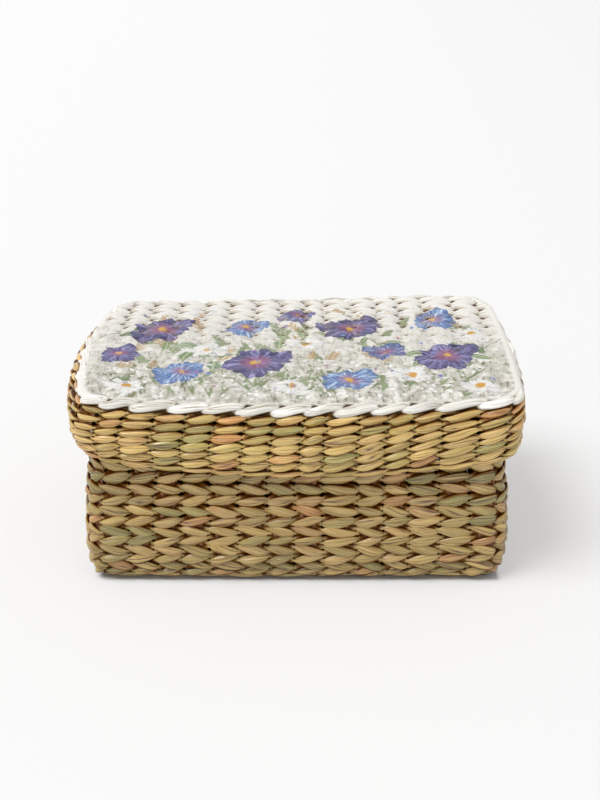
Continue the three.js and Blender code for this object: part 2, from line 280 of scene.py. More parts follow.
# The body's wall: courses of two strands each that twist past one another between the stakes, so each
# strand shows as a leaf-shaped stitch over every second stake. Neighbouring courses are twined the
# opposite way, which gives the herringbone.
wall = 7.5 * mm
body_corner = 16 * mm
corner_reach_share = 0.262
side_stitches = (14, 9, 14, 9)
stitches_round = sum(side_stitches) + len(side_stitches)
stitch_pitch = 20 * mm
strand_girth = 16 * mm
strand_twist = 0.1
map_gap = 0.37
tip_share = 0.15
body_bows = (1.2 * mm, 1.2 * mm)
foot_spread_share, foot_spread_height = 0.018, 40 * mm
rest_height = 0.1 * mm
body_courses, body_seed = 15, 100
drop_rows = (0, 2, 12, 15)
course_drops = (0.2 * mm, 2.2 * mm, 2.2 * mm, 0)
# Painted shadow of the lid: the courses just below its rim are drawn darker, by course number.
under_lid_rows, painted_lid_shadow_lights = (7, 9), (1, 0.9)
# How far in a point lies when it takes the full painted shade.
crevice_reach = 2.6 * mm
fold_count, fold_width, fold_rise = 3, 0.17, 0.4
tone_middle, tone_spread, tone_range = 0.5, 0.27, (0.02, 0.98)
light_spread, light_range = 0.09, (0.8, 1.2)
shade_blend_share = 0.02
row_shift = 0.06
stitch_ranges = {
    "swing": (-0.4 * mm, 0.4 * mm),
    "fullest": (-0.35, 0.35),
    "width": (0.86, 1.14),
    "thickness": (0.9, 1.15),
    "proud": (-0.4 * mm, 0.4 * mm),
    "slant": (0.7, 1.3),
    "height": (-0.5 * mm, 0.5 * mm),
    "roll": (-0.22, 0.22),
    "fold_place": (-1.2, 1.2),
    "fold_depth": (0.03, 0.2),
}
body_twine = {
    "half_width_share": 0.6,
    "half_thick": 2.2 * mm,
    "thin_share": 0.72,
    "pinch": 0.28,
    "taper": 0.6,
    "swing": 2.2 * mm,
    "snap": 0.8,
    "proud": 0.8 * mm,
    "slant": 1.7 * mm,
    # Lightness of the body's reed: drawn darker than the lid's, partly its own shade and partly painted
    # shade for the shadow the lid casts.
    "light": 0.82,
    # How much less painted shade the upper side and the outward face take, as light falls on them.
    "lit_above": 0.25,
    "lit_face": 0.7,
    "steps": 12,
    "outer_points": 15,
    "inner_points": 5,
}


def ring_girths(nodes):
    """Half length, half depth, sideways shift and middle height of rings, the lowest ring first."""
    corners = np.array([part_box(node) for node in nodes])
    halves = (corners[:, 1] - corners[:, 0]) / 2
    middles = (corners[:, 1] + corners[:, 0]) / 2
    girths = np.stack([halves[:, 0], halves[:, 1], middles[:, 0], middles[:, 2]], -1)
    return girths[np.argsort(girths[:, 3])]


def new_shell(nodes, corner, bows, wander, settle, seed):
    """What the strands of a shell share: its girths, the radius of its corners, how far its long and end
    walls belly out, how stitch numbers map to places on the outline, how far the stakes wander from even
    spacing, and how the shell has settled out of true.

    A place on the outline is 2 for each side, from 0 to 1 along a side and from 1 to 2 round a corner. The
    one stitch that wraps a corner also reaches a little way along both sides."""
    girths = ring_girths(nodes)
    widest = girths[np.argmax(girths[:, 0])]
    arc = corner * math.pi / 2
    stitch_knots, outline_knots, start = [], [], 0
    for side, count in enumerate(side_stitches):
        straight = 2 * (widest[side % 2] - corner)
        reach = corner_reach_share * arc * count / (straight + 2 * corner_reach_share * arc)
        stitch_knots += [start, start + reach, start + count - reach, start + count]
        outline_knots += [2 * side + share for share in (-corner_reach_share, 0, 1, 1 + corner_reach_share)]
        start += count + 1
    rng = np.random.default_rng(seed)
    shifts = rng.uniform(-wander, wander, stitches_round + 1)
    shifts[-1] = shifts[0]
    return {
        "girths": girths,
        "stitch_knots": np.array(stitch_knots + [stitches_round]),
        "outline_knots": np.array(outline_knots + [8 - corner_reach_share]),
        "wander": shifts,
        "corner": corner,
        "bows": bows,
        "settle": settle,
    }


def outline_place(shell, stitch, height, inset):
    """Place and outward direction on a shell at each stitch number, moved in by an inset. A straight side
    runs along its direction; a corner turns from one side's outward direction to the next by a quarter."""
    girths = shell["girths"]
    half_x, half_y, shift = (np.interp(height, girths[:, 3], girths[:, i]) for i in range(3))
    corner, (long_bow, end_bow) = shell["corner"], shell["bows"]
    half_x, half_y = half_x - end_bow, half_y - long_bow
    shifts = np.interp(np.mod(stitch, stitches_round), np.arange(stitches_round + 1), shell["wander"])
    numbers = np.mod(stitch + shifts, stitches_round)
    place = np.mod(np.interp(numbers, shell["stitch_knots"], shell["outline_knots"]), 8)
    turn = np.floor(place / 2) * math.pi / 2
    share = place - np.floor(place)
    in_corner = np.mod(np.floor(place), 2) > 0
    is_long = np.mod(np.floor(place / 2), 2) < 1
    along = np.stack([np.cos(turn), np.sin(turn)], -1)
    out = np.stack([np.sin(turn), -np.cos(turn)], -1)
    run = np.where(is_long, half_x, half_y) - corner
    reach = np.where(is_long, half_y, half_x) - corner
    angle = np.where(in_corner, share * math.pi / 2, 0.0)
    across = np.where(in_corner, run, (2 * share - 1) * run)
    belly = np.where(in_corner, 0.0, np.where(is_long, long_bow, end_bow) * (1 - (2 * share - 1) ** 2))
    normal = out * np.cos(angle)[..., None] + along * np.sin(angle)[..., None]
    points = along * across[..., None] + out * (reach + belly)[..., None]
    points = points + (corner - inset) * normal
    points[..., 0] += shift
    return points, normal


def per_stitch(stitch, phase, values, blend_share=0.1):
    """One value for each stitch of a strand. A stitch that shows outside keeps its value a little way past
    the crossings at its ends, until it has gone behind, and there the values blend."""
    index = np.arange(-2, len(values) + 3)
    past = np.where((index + phase) % 2 == 0, tip_share, -tip_share)
    knots = np.stack([index - past + blend_share / 2, index + 1 + past - blend_share / 2], -1).ravel()
    return np.interp(stitch, knots, np.repeat(values[np.mod(index, len(values))], 2))


def strand_skin(stitch, count, spine, outward, upward, phase, pitch, twine, rng):
    """A strand of twine along a line of stakes. It swings out and in as a power of the sine of half a turn
    for each stitch, and climbs as the cosine; it is widest over a stake and pinched where it crosses. Round
    it, the section is an ellipse with a few narrow grooves, the folds of the leaf, and more points on the
    side that faces out. Returns the points and their tone, lightness and depth. Depth is how far a point
    lies in from the outermost swing, less on a strand's faces and on its upper side, where light falls; the
    material paints shade by it."""

    def each(name):
        return per_stitch(stitch, phase, rng.uniform(*stitch_ranges[name], count))

    share = np.mod(stitch + phase, 1)
    face = np.where(np.mod(stitch + phase, 2) < 1, 1.0, -1.0)
    swing = (twine["swing"] + each("swing")) * np.sin(math.pi * share) ** twine["snap"]
    fullness = np.abs(np.sin(math.pi * share ** 2.0 ** each("fullest"))) ** twine["taper"]
    full_width = twine["half_width_share"] * pitch * each("width")
    half_width = full_width * (twine["pinch"] + (1 - twine["pinch"]) * fullness)
    full_thickness = twine["half_thick"] * each("thickness")
    half_thick = full_thickness * (twine["thin_share"] + (1 - twine["thin_share"]) * fullness)
    proud = (twine["proud"] + each("proud")) * (1 - fullness)
    centre_out = face * swing + proud
    climb = -twine["slant"] * each("slant") * np.cos(math.pi * (stitch + phase))
    centre_up = climb + each("height")
    roll = each("roll")[:, None]
    outer = np.linspace(-math.pi / 2, math.pi / 2, twine["outer_points"], endpoint=False)
    inner = np.linspace(math.pi / 2, 1.5 * math.pi, twine["inner_points"], endpoint=False)
    angle = np.concatenate([outer, inner])[None, :]
    ripple = np.ones((len(stitch), angle.size))
    for _ in range(fold_count):
        fold, groove = each("fold_place")[:, None], each("fold_depth")[:, None]
        for side in (0, math.pi):
            away = np.angle(np.exp(1j * (angle - side - fold)))
            ripple -= groove * np.exp(-((away / fold_width) ** 2))
    local_out = half_thick[:, None] * np.cos(angle) * ripple
    local_up = half_width[:, None] * np.sin(angle) * (1 - fold_rise + fold_rise * ripple)
    out = centre_out[:, None] + local_out * np.cos(roll) - local_up * np.sin(roll)
    up = centre_up[:, None] + local_up * np.cos(roll) + local_out * np.sin(roll)
    points = spine[:, None] + out[..., None] * outward[:, None] + up[..., None] * upward[:, None]
    tones = np.clip(rng.normal(tone_middle, tone_spread, count), *tone_range)
    lights = twine["light"] * np.clip(rng.normal(1, light_spread, count), *light_range)
    shades = [per_stitch(stitch, phase, values, shade_blend_share)[:, None] for values in (tones, lights)]
    # Depth sets the painted shade: full deep in the weave, less on the faces and on the upper side that the
    # light reaches.
    hull = (swing + proud + half_thick)[:, None]
    depth = np.clip((hull - np.abs(out)) / crevice_reach, 0, 1)
    depth = depth * (1 - twine["lit_face"] * np.abs(np.cos(angle)))
    depth = depth * (1 - twine["lit_above"] * np.clip(np.sin(angle), 0, 1))
    return points, *(np.broadcast_to(shade, out.shape) for shade in shades), depth


def strand_object(name, skins, closed, step):
    """One mesh from the skins of several strands, each a grid of points along by round. A closed strand
    joins end to end, and an open one has a fan at each end. The map named strand holds metres, and winds
    slowly round the strand, as its twist does."""
    vertices, faces, corners_map, layers = [], [], [], {"tone": [], "light": [], "depth": []}
    start = 0
    for order, (skin, *values) in enumerate(skins):
        rows, cols = skin.shape[:2]
        i = np.arange(rows if closed else rows - 1)[:, None] + 0 * np.arange(cols)[None, :]
        j = np.arange(cols)[None, :] + 0 * i
        ring = [(i, j), (i + 1, j), (i + 1, j + 1), (i, j + 1)]
        faces.append(np.stack([(a % rows) * cols + b % cols for a, b in ring], -1).reshape(-1, 4) + start)
        u = np.stack([a for a, b in ring], -1) * step + order * map_gap
        v = np.stack([b for a, b in ring], -1) * strand_girth / cols + strand_twist * u
        corners_map.append(np.stack([u, v], -1).reshape(-1, 4, 2))
        vertices.append(skin.reshape(-1, 3))
        for layer, value in zip(layers.values(), values):
            layer.append(value.reshape(-1))
        if not closed:
            for end, direction in ((0, -1), (rows - 1, 1)):
                rim = start + end * cols + np.arange(cols)[::direction]
                middle = start + rows * cols + (0 if end == 0 else 1)
                fan = np.stack([rim, np.roll(rim, -1), np.full(cols, middle), np.full(cols, middle)], -1)
                faces.append(fan)
                corners_map.append(np.full((cols, 4, 2), order * map_gap))
                vertices.append(skin[end].mean(0)[None])
                for layer, value in zip(layers.values(), values):
                    layer.append(value[end].mean()[None])
        start += rows * cols + (0 if closed else 2)
    mesh = bpy.data.meshes.new(name)
    quads = np.concatenate(faces)
    is_fan = quads[:, 2] == quads[:, 3]
    sizes = np.where(is_fan, 3, 4)
    kept = np.ones(quads.shape, bool)
    kept[is_fan, 3] = False
    points = np.concatenate(vertices)
    mesh.vertices.add(len(points))
    mesh.vertices.foreach_set("co", points.astype(np.float32).ravel())
    mesh.loops.add(int(sizes.sum()))
    mesh.loops.foreach_set("vertex_index", quads[kept].astype(np.int32))
    mesh.polygons.add(len(quads))
    mesh.polygons.foreach_set("loop_start", (np.cumsum(sizes) - sizes).astype(np.int32))
    mesh.update(calc_edges=True)
    mesh.shade_smooth()
    strand_map = mesh.uv_layers.new(name="strand").data
    strand_map.foreach_set("uv", np.concatenate(corners_map)[kept].astype(np.float32).ravel())
    for label, values in layers.items():
        layer = mesh.attributes.new(label, "FLOAT", "POINT")
        layer.data.foreach_set("value", np.concatenate(values).astype(np.float32))
    piece = bpy.data.objects.new(name, mesh)
    scene.collection.objects.link(piece)
    return piece


def stitch_steps(low, high, steps):
    """Stitch numbers in even steps, closer where stitches cross, so that the bends are fine there."""
    even = np.arange(round((high - low) * steps)) / steps + low
    share = even - np.floor(even)
    return np.floor(even) + share / 2 + (1 - np.cos(math.pi * share)) / 4


def twined_ring(shell, name, twine, height, pitch, seed, tilt=0.0, inset=wall / 2, count=stitches_round):
    """A course right round a shell, of a number of stitches: two strands half a turn apart. Tilt turns its
    outer face down."""
    rng = np.random.default_rng(seed)
    stitch = stitch_steps(0, count, twine["steps"])
    row_shifts = rng.uniform(-row_shift, row_shift, count + 1)
    row_shifts[-1] = row_shifts[0]
    placed = (stitch + np.interp(stitch, np.arange(count + 1), row_shifts)) * stitches_round / count
    flat, normal = outline_place(shell, placed, height, inset)
    spine = np.concatenate([flat, np.broadcast_to(height, len(flat))[:, None]], -1)
    normal = np.concatenate([normal, np.zeros((len(flat), 1))], -1)
    vertical = np.array([0.0, 0.0, 1.0])
    outward = normal * math.cos(tilt) - vertical * math.sin(tilt)
    upward = normal * math.sin(tilt) + vertical * math.cos(tilt)
    skins = []
    for phase in (0, 1):
        skins.append(strand_skin(stitch, count, spine, outward, upward, phase, pitch, twine, rng))
        skins[-1][0][:] = shell["settle"](skins[-1][0])
    return strand_object(name, skins, True, stitch_pitch * stitches_round / count / twine["steps"])


def dress(piece, body, slot, material, *nodes):
    """Gives a piece its material, says which body it rides on, and hides the model's nodes that it stands
    for.
    """
    piece.data.materials.append(material)
    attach(piece, body)
    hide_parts(*nodes)


def wall_lean(shell, height):
    """How far the wall leans out at a height: the angle whose tangent is the girth's rate of growth."""
    growth = np.gradient(shell["girths"][:, 0], shell["girths"][:, 3])
    return -math.atan(np.interp(height, shell["girths"][:, 3], growth))


def body_settle(points):
    """Spreads the foot under the box's weight, by a parabola up from it, and flattens what rests on the
    ground."""
    low_share = np.clip(1 - points[..., 2:] / foot_spread_height, 0, 1)
    spread = points.copy()
    spread[..., :2] *= 1 + foot_spread_share * low_share**2
    return np.maximum(spread, (-np.inf, -np.inf, rest_height))


body_course_nodes = ["body_course_%02d" % (k + 1) for k in range(body_courses)]
body_shell = new_shell(
    ["body_foot_border", *body_course_nodes, "body_rim_border"],
    corner=body_corner,
    bows=body_bows,
    wander=0.11,
    settle=body_settle,
    seed=5,
)
for k, node in enumerate(body_course_nodes):
    low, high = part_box(node)
    height = (low[2] + high[2]) / 2 - np.interp(k, drop_rows, course_drops)
    leaning = {
        "slant": body_twine["slant"] * (1 if k % 2 == 0 else -1),
        # The courses under the lid are darkened as its painted shadow.
        "light": body_twine["light"] * np.interp(k, under_lid_rows, painted_lid_shadow_lights),
    }
    course = twined_ring(
        body_shell,
        node + "_twine",
        body_twine | leaning,
        height,
        high[2] - low[2],
        seed=body_seed + k,
        tilt=wall_lean(body_shell, height),
    )
    dress(course, "body", "twined_reed", straw_reed, node)

# The two borders of the body, twined like the courses. The foot border lies in the bend between wall and
# base, of long thin leaves turned half down; the rim border closes the mouth over the stakes' ends.
foot_ring = {
    "height": 5.6 * mm,
    "inset": 3.2 * mm,
    "pitch": 4.6 * mm,
    "tilt": math.radians(30),
    "count": 34,
    "seed": 140,
    "twine": body_twine
    | {
        "half_width_share": 0.46,
        "half_thick": 1.3 * mm,
        "pinch": 0.5,
        "swing": 1.1 * mm,
        "slant": -0.45 * mm,
        "proud": 0.3 * mm,
    },
}
body_rim_ring = {
    "height": 128.2 * mm,
    "pitch": 7.6 * mm,
    "seed": 141,
    "twine": body_twine | {"half_thick": 2.3 * mm, "swing": 2.0 * mm},
}

foot = twined_ring(body_shell, "body_foot_border_twine", **foot_ring)
dress(foot, "body", "twined_reed", straw_reed, "body_foot_border")
body_rim = twined_ring(body_shell, "body_rim_border_twine", **body_rim_ring)
dress(body_rim, "body", "twined_reed", straw_reed, "body_rim_border")

# The stakes: flat reddish reeds that stand inside the courses, one behind each stitch. Those of the long
# walls run on across the mat; the end walls and corners have short ones of their own.
stake_width = 12.5 * mm
stake_thickness = 0.9 * mm
stake_points = 10
stake_heights = 12
stake_rise = 7 * mm
stake_step = 5 * mm
stake_tones, stake_lights = (0.1, 0.9), (0.85, 1.1)
crossing_ends, crossing_points = 0.02, 9
stake_finish = straw_finish | {
    "shades": {0.0: "#7d4522", 0.35: "#9c5c30", 0.65: "#b47443", 1.0: "#c28c5a"},
    "roughness": 0.5,
}
stake_reed = reed_material("dried_stake_reed_reddish", stake_finish)


def ribbon_skin(path, outward, across, rng):
    """A flat reed along a path: round it, the section is a thin ellipse. Its tone is the same all along."""
    angle = np.linspace(0, 2 * math.pi, stake_points, endpoint=False)[None, :, None]
    out = stake_thickness / 2 * np.cos(angle) * outward[:, None]
    skin = path[:, None] + out + stake_width / 2 * np.sin(angle) * across[:, None]
    shades = (rng.uniform(*stake_tones), rng.uniform(*stake_lights), 0.0)
    return skin, *(np.full(skin.shape[:2], shade) for shade in shades)


def wall_path(shell, stitch, heights):
    """Points up the middle of a wall at one stitch number, and the wall's outward direction there."""
    places = [outline_place(shell, np.array([stitch]), height, wall / 2) for height in heights]
    points = np.array([[*flat[0], height] for (flat, normal), height in zip(places, heights)])
    outward = np.array([[*normal[0], 0.0] for flat, normal in places])
    return points, outward


def long_stake(shell, stitch, rim, bend, run, rng):
    """A stake of the long walls: from the front rim along the wall to the bend, across at the height of the
    run, and along the back wall to its rim."""
    heights = np.linspace(rim, bend, stake_heights)
    front, front_out = wall_path(shell, stitch, heights)
    back_stitch = sum(side_stitches[:2]) + 2 + side_stitches[0] - stitch
    back, back_out = wall_path(shell, back_stitch, heights[::-1])
    face = math.copysign(1.0, run - rim)
    share = np.linspace(crossing_ends, 1 - crossing_ends, crossing_points)[:, None]
    across = front[-1] + share * (back[0] - front[-1])
    across[:, 2] = run
    level = np.tile([0.0, 0.0, face], (len(across), 1))
    path = shell["settle"](np.concatenate([front, across, back]))
    outward = np.concatenate([front_out, level, back_out])
    sideways = np.tile([-face, 0.0, 0.0], (len(path), 1))
    return ribbon_skin(path, outward, sideways, rng)


def end_stake(shell, stitch, rim, bend, rng):
    """A short stake from the bend to the rim."""
    heights = np.linspace(min(bend, rim), max(bend, rim), stake_heights)
    points, outward = wall_path(shell, stitch, heights)
    return ribbon_skin(shell["settle"](points), outward, np.cross(outward, [0.0, 0.0, 1.0]), rng)


def add_stakes(shell, body, rim, bend, run):
    """All the stakes of a shell: one object for each node of the frame."""
    rng = np.random.default_rng(len(body))
    for i in range(side_stitches[0]):
        node = "%s_stake_%02d" % (body, i + 1)
        skins = [long_stake(shell, i + 0.5, rim, bend, run, rng)]
        dress(strand_object(node + "_reed", skins, False, stake_step), body, "stake_reed", stake_reed, node)
    for side, start in (("right", side_stitches[0]), ("left", sum(side_stitches[:3]) + 2)):
        numbers = start + np.arange(side_stitches[1] + 2) + 0.5
        skins = [end_stake(shell, number, rim, bend, rng) for number in numbers]
        node = "%s_%s_end_stakes" % (body, side)
        reeds = strand_object(node + "_reeds", skins, False, stake_step)
        dress(reeds, body, "stake_reed", stake_reed, node)


add_stakes(body_shell, "body", rim=body_rim_ring["height"], bend=stake_rise, run=wall / 2)

# The mats: twined rows of the same reed that run the length of the box, over and under the stakes that
# cross it. The base mat is the box's floor, and its ends run in over the foot border.
mat_pitch = 8.1 * mm
base_overlap, top_overlap = 3.6 * mm, 1.5 * mm
mat_drop = 0.9 * mm
mat_twine = body_twine | {
    "half_thick": 1.6 * mm,
    "swing": 1.6 * mm,
    "slant": 1.8 * mm,
    "proud": 0.3 * mm,
    "steps": 8,
    "outer_points": 8,
    "inner_points": 4,
}


def mat_columns(shell, height):
    """Where the stakes' gaps lie along the box at a height: each stitch number from the front's outline,
    with one more stitch at either end."""
    numbers = np.arange(side_stitches[0] + 1)
    places = outline_place(shell, numbers.astype(float), height, 0)[0][:, 0]
    first, last = 2 * places[0] - places[1], 2 * places[-1] - places[-2]
    return np.arange(-1, len(numbers) + 1), np.array([first, *places, last])


def mat_skins(shell, node, face, overlap, twine, seed):
    """Rows of twine that fill the box of a mat's node; face is 1 where its outer face looks up. A row ends
    short of the box by the end wall's bow, a parabola, and by the corner's arc, less an overlap."""
    rng = np.random.default_rng(seed)
    low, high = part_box(node)
    height = (low[2] + high[2]) / 2 - max(face, 0) * mat_drop
    numbers, places = mat_columns(shell, height)
    rows = round((high[1] - low[1]) / mat_pitch)
    pitch = (high[1] - low[1]) / rows
    corner, (long_bow, end_bow) = shell["corner"], shell["bows"]
    skins = []
    for row in range(rows):
        y = low[1] + (row + 0.5) * pitch
        corner_depth = min(corner, max(0, corner - (high[1] - long_bow - abs(y))))
        short = end_bow * (y / high[1]) ** 2 + corner - math.sqrt(corner**2 - corner_depth**2) - overlap
        ends = np.interp([low[0] + short, high[0] - short], places, numbers)
        stitch = stitch_steps(*ends, twine["steps"])
        x = np.interp(stitch, numbers, places)
        outward = np.tile([0.0, 0.0, float(face)], (len(stitch), 1))
        upward = np.tile([0.0, float(face), 0.0], (len(stitch), 1))
        spine = np.stack([x, np.full(len(x), y), np.full(len(x), height)], -1)
        sided = twine | {"slant": twine["slant"] * (1 if row % 2 == 0 else -1)}
        for phase in (row % 2, row % 2 + 1):
            stitches = len(numbers) - 1
            skins.append(strand_skin(stitch, stitches, spine, outward, upward, phase, pitch, sided, rng))
            skins[-1][0][:] = shell["settle"](skins[-1][0])
    return skins


base_skins = mat_skins(body_shell, "body_base_mat", -1, base_overlap, mat_twine, 150)
base = strand_object("body_base_mat_rows", base_skins, False, stitch_pitch / mat_twine["steps"])
dress(base, "body", "twined_reed", straw_reed, "body_base_mat")

# The lid's wall: the same twine in lower courses, all twined one way and steeper towards the right. The lid
# has settled: its front edge sags in the middle, its rim rises towards the ends, its left wall has rolled
# outwards and its back right corner stands up.
lid_corner = 24 * mm
lid_bows = (5 * mm, 6 * mm)
left_swell, left_roll = 4 * mm, 4 * mm
front_right_reach, reach_powers = 4 * mm, (6, 3)
rim_rises = (9 * mm, 6.3 * mm)
lid_foot, lid_shoulder, lid_brow = 92 * mm, 133 * mm, 137 * mm
lid_sag = 3.2 * mm
sag_from, sag_to = -82 * mm, -106 * mm
corner_rise, rise_place, rise_limits = 5.5 * mm, 138 * mm, (1.5, 1.1)
lid_half = np.array([150 * mm, 105 * mm])
lid_courses, lid_seed = 6, 200
lid_slants = (1.45 * mm, 1.5 * mm, 2.3 * mm, 2.3 * mm, 2.0 * mm, 1.45 * mm)
lid_slant_stitches = (0, 8, 13, 16, 24, 28)
lid_twine = body_twine | {
    "half_width_share": 0.61,
    "half_thick": 2.2 * mm,
    "pinch": 0.2,
    "taper": 0.62,
    "swing": 2.1 * mm,
    "proud": 0.8 * mm,
    # Lightness of the lid's reed: drawn lighter than the body's, partly its own shade and partly painted
    # light for the lid standing in the light.
    "light": 1.18,
    "lit_above": 0.45,
}


def lid_settle(points):
    """Lowers the front edge by a parabola along it. Lifts the back edge on the right by a squared sine, most
    near the corner. Swells the left end by a parabola, most below the lid's shoulder. The rim rises by the
    square of the way to either end, and less higher up. The front right corner is drawn out by a high power
    of the way to it."""
    x_share, y_share = points[..., 0] / lid_half[0], points[..., 1] / lid_half[1]
    front = np.clip((points[..., 1] - sag_from) / (sag_to - sag_from), 0, 1)
    sag = lid_sag * (3 * front**2 - 2 * front**3) * np.clip(1 - x_share**2, 0, 1)
    rise_share = np.sin(math.pi / 2 * np.clip(points[..., 0] / rise_place, 0, rise_limits[0])) ** 2
    rise = corner_rise * rise_share * np.clip(y_share, 0, rise_limits[1]) ** 2
    below = np.clip((lid_brow - points[..., 2]) / (lid_brow - lid_foot), 0, 1)
    rim_rise = np.where(x_share < 0, *rim_rises) * below * x_share**2
    rolled = np.interp(points[..., 2], (lid_foot, lid_shoulder, lid_brow), (0, 1, 0))
    swell = (left_swell + left_roll * rolled) * np.clip(1 - y_share**2, 0, 1)
    settled = points.copy()
    drawn_out = front_right_reach * np.clip(x_share, 0, 1) ** reach_powers[0]
    drawn_out = drawn_out * np.clip(-y_share, 0, 1) ** reach_powers[1]
    settled[..., 0] += drawn_out - swell * np.clip(-x_share, 0, 1)
    settled[..., 2] += rise - sag + rim_rise
    return settled


lid_course_nodes = ["lid_course_%02d" % (k + 1) for k in range(lid_courses)]
lid_shell = new_shell(
    ["lid_top_border", *lid_course_nodes, "lid_rim_border"],
    corner=lid_corner,
    bows=lid_bows,
    wander=0.13,
    settle=lid_settle,
    seed=9,
)
lid_stitch = stitch_steps(0, stitches_round, lid_twine["steps"])
lid_slant = np.interp(lid_stitch, lid_slant_stitches, lid_slants)
for k, node in enumerate(lid_course_nodes):
    low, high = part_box(node)
    height = (low[2] + high[2]) / 2
    course = twined_ring(
        lid_shell,
        node + "_twine",
        lid_twine | {"slant": lid_slant},
        height,
        high[2] - low[2],
        seed=lid_seed + k,
        tilt=wall_lean(lid_shell, height),
    )
    dress(course, "lid", "twined_reed", straw_reed, node)

# The lid's rim, of long thin leaves turned in and down, that wraps the ends of its stakes.
lid_rim_ring = {
    "height": 92.4 * mm,
    "inset": 4.2 * mm,
    "pitch": 5.6 * mm,
    "tilt": math.radians(38),
    "seed": 240,
    "twine": lid_twine | {"half_thick": 1.6 * mm, "pinch": 0.4, "swing": 1.4 * mm, "slant": 1.2 * mm},
}
lid_bend_height, lid_run_height = 135 * mm, 137.2 * mm

lid_rim = twined_ring(lid_shell, "lid_rim_border_twine", **lid_rim_ring)
dress(lid_rim, "lid", "twined_reed", straw_reed, "lid_rim_border")
add_stakes(lid_shell, "lid", rim=lid_rim_ring["height"], bend=lid_bend_height, run=lid_run_height)

# The border of the lid's top: a rope of two thick strands that wind round each other, so its stitches are
# long and slanted. It is brushed with white chalky paint. Deep in the twist it is painted brown, partly the
# bare reed that the paint leaves and partly painted shade. It stands proud at the front and lies lower round
# the other sides, where the paper covers it.
rope_stitches = 42
rope_height_places = (0, 0.28, 0.32, 0.44, 0.48, 0.81, 0.84, 0.96, 1)
rope_heights = tuple(h * mm for h in (138.2, 138.2, 136.4, 136.4, 137.0, 137.0, 135.8, 135.8, 138.2))
rope_twine = body_twine | {
    "half_width_share": 0.5,
    "half_thick": 2.1 * mm,
    "thin_share": 0.9,
    "pinch": 0.8,
    "swing": 1.5 * mm,
    "snap": 0.9,
    "proud": 0.2 * mm,
    "slant": 1.7 * mm,
    "light": 1.08,
    # Its upper side and its faces take little of the painted shade.
    "lit_above": 0.85,
    "lit_face": 0.15,
}
rope_places = stitch_steps(0, rope_stitches, rope_twine["steps"]) / rope_stitches
rope_ring = {
    "height": np.interp(rope_places, rope_height_places, rope_heights),
    "inset": 3.4 * mm,
    "pitch": 6.8 * mm,
    "tilt": math.radians(-32),
    "count": rope_stitches,
    "seed": 241,
    "twine": rope_twine,
}
painted_finish = straw_finish | {
    "shades": {0.0: "#eae8e0", 0.4: "#f1efe9", 0.75: "#f6f4f0", 1.0: "#f9f8f5"},
    "fibres": {0.3: "#dcd7cc", 0.42: "#f4f2ec", 0.55: "#ffffff"},
    # Grey-brown lines in the paint's creases: painted shade in the folds.
    "creases": {0.46: "#ffffff", 0.5: "#b3a690", 0.54: "#ffffff"},
    # Pale in the crevices and dark brown deepest: painted shade, there partly the bare reed.
    "crevice": "#e2ddd2",
    "deep": "#4a361c",
    "roughness": 0.46,
}
painted_reed = reed_material("white_chalk_paint_on_reed", painted_finish)

rope = twined_ring(lid_shell, "lid_top_border_rope", **rope_ring)
dress(rope, "lid", "white_painted_reed", painted_reed, "lid_top_border")

# The lid's mat: flat rows of the same twine, which carry the paper that is glued over them. They are bare
# reed on the underside.
lid_mat_twine = mat_twine | {"outer_points": 5, "inner_points": 7}
lid_mat_skins = mat_skins(lid_shell, "lid_top_mat", 1, top_overlap, lid_mat_twine, seed=250)
lid_mat = strand_object("lid_top_mat_rows", lid_mat_skins, False, stitch_pitch / lid_mat_twine["steps"])
dress(lid_mat, "lid", "twined_reed", straw_reed, "lid_top_mat")

# The printed sheet: soft paper glued over the lid's twined top with white paint, so it takes the relief of
# the rows below. At the back it has sunk deep between the stitches and split there over the brown reed,
# which is painted dark, partly the bare reed and partly painted shade, and its grooves are painted
# grey-brown as painted shadow; towards the front it bridges them. At the sides it runs out over the border
# as a plain white band. Its print is a vine with round blossoms, among white blossoms, ferns, twigs, grass
# blades, berries and dots.
sheet_columns, sheet_rows = 360, 244
left_reach, right_reach, back_reach, front_reach = 11.5 * mm, 7.0 * mm, 7.0 * mm, 5.5 * mm
sheet_corner = 22 * mm
sheet_height, sheet_skirt = 138.1 * mm, 1.2 * mm
edge_roll, edge_drop = 4.0 * mm, 2.8 * mm
band_width, band_edge = 6.5 * mm, 1.5 * mm
bare_back, ink_fade = 9 * mm, 4 * mm
sheet_twine = mat_twine | {
    "half_width_share": 0.6,
    "swing": 1.9 * mm,
    "half_thick": 2.0 * mm,
    "thin_share": 0.7,
}
sheet_unevenness = {"width": 0.12, "lift": 0.5 * mm, "slant": 0.3, "place": 0.5 * mm}
lowest_relief, spare_rows, spare_columns = -2 * mm, 3, 2
sunk_from, sunk_over, sunk_wobble, wobble_size = -0.35, 1.1, 0.12, 60 * mm
smooth_front_share = 0.72
bridge_cells, gap_cells, groove_cells = 6, 5, 2
bridge_rise = 0.5 * mm
split_from, split_over, groove_over = 0.7 * mm, 1.1 * mm, 0.5 * mm
least_open_share = 0.15
wave_count, wave_paces, wave_total, blur_rounds = 8, (0.7, 1.4), 5, 3


def noise_waves(x, y, size, seed):
    """Smooth noise, mostly from -1 to 1: the sum of eight sine waves in seeded directions, over five."""
    rng = np.random.default_rng(seed)
    total = np.zeros_like(x)
    for _ in range(wave_count):
        heading, phase = rng.uniform(0, 2 * math.pi, 2)
        pace = rng.uniform(*wave_paces) * 2 * math.pi / size
        total += np.sin(pace * (x * math.cos(heading) + y * math.sin(heading)) + phase)
    return total / wave_total


def blurred(field, cells):
    """A field smoothed three times by a running mean, each way, so that it ends up bell-shaped."""
    for _ in range(blur_rounds):
        for axis in (0, 1):
            reach = [(cells, cells) if axis == i else (0, 0) for i in (0, 1)]
            padded = np.cumsum(np.pad(field, reach, mode="edge"), axis=axis)
            ahead = np.take(padded, np.arange(2 * cells, padded.shape[axis]), axis=axis)
            behind = np.take(padded, np.arange(padded.shape[axis] - 2 * cells), axis=axis)
            field = (ahead - behind) / (2 * cells)
    return field


